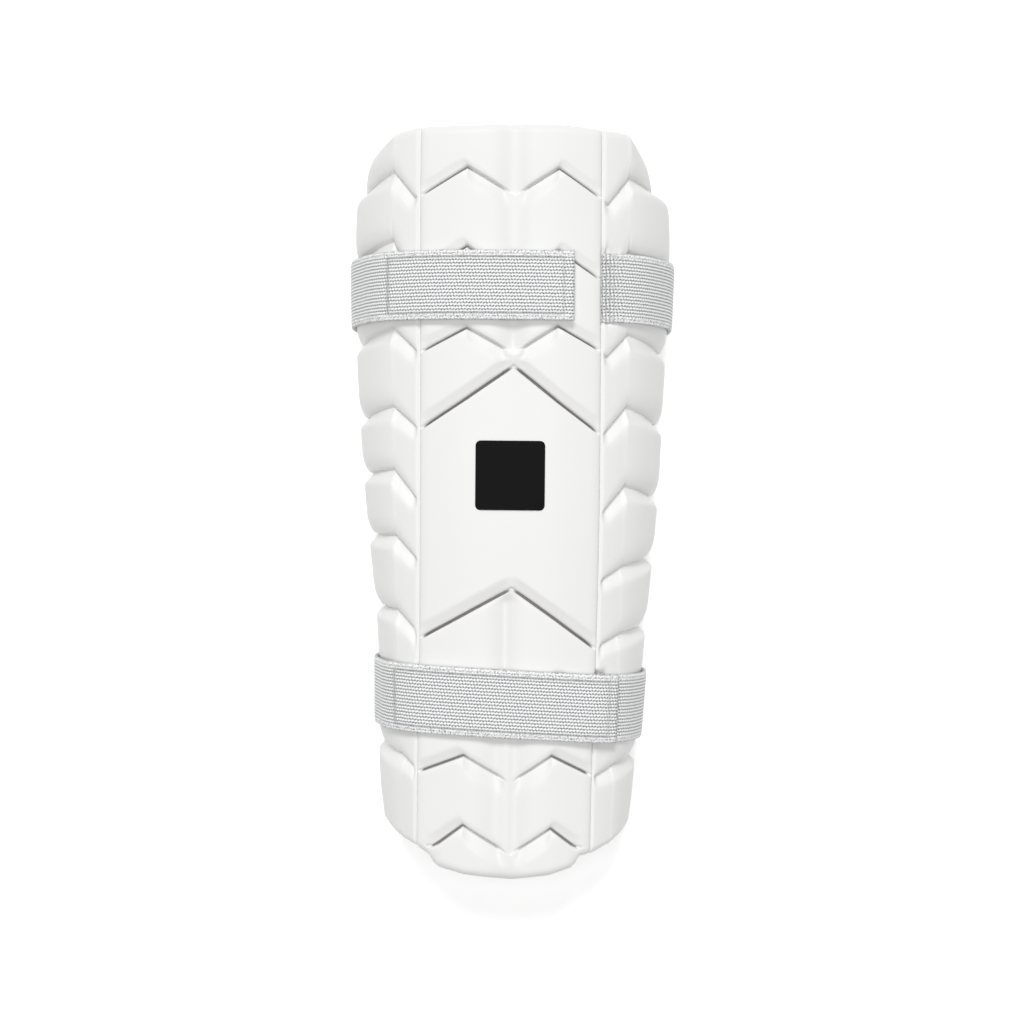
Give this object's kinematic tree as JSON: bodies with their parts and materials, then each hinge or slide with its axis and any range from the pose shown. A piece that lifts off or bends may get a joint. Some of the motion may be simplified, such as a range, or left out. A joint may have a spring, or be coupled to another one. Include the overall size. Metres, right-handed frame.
{
  "type": "cricket arm guard",
  "caption": "Moulded white foam guard for a cricketer's forearm: an open channel with sculpted chevron panels, held on by elastic straps that wrap round and fasten on the front.",
  "frame": {"origin": "middle of the bounding box's foot, in the plane that the undersides of both straps' back spans lie in", "axes": "+Z out of the front (impact) face, +Y along the forearm to the elbow end, +X to the side where the straps enter the foam"},
  "size_m": [0.124, 0.277, 0.063],
  "materials": {
    "white_foam": "smooth satin skin over soft moulded foam",
    "grey_elastic": "ribbed woven elastic",
    "grip_tape": "sewn grip tape, plain",
    "black_patch": "thin blank transfer, satin"
  },
  "bodies": {
    "root": {"guard_pad": "white_foam", "upper_strap": "grey_elastic", "lower_strap": "grey_elastic", "upper_grip_patch": "grip_tape", "lower_grip_patch": "grip_tape", "badge": "black_patch"}
  },
  "joints": []
}
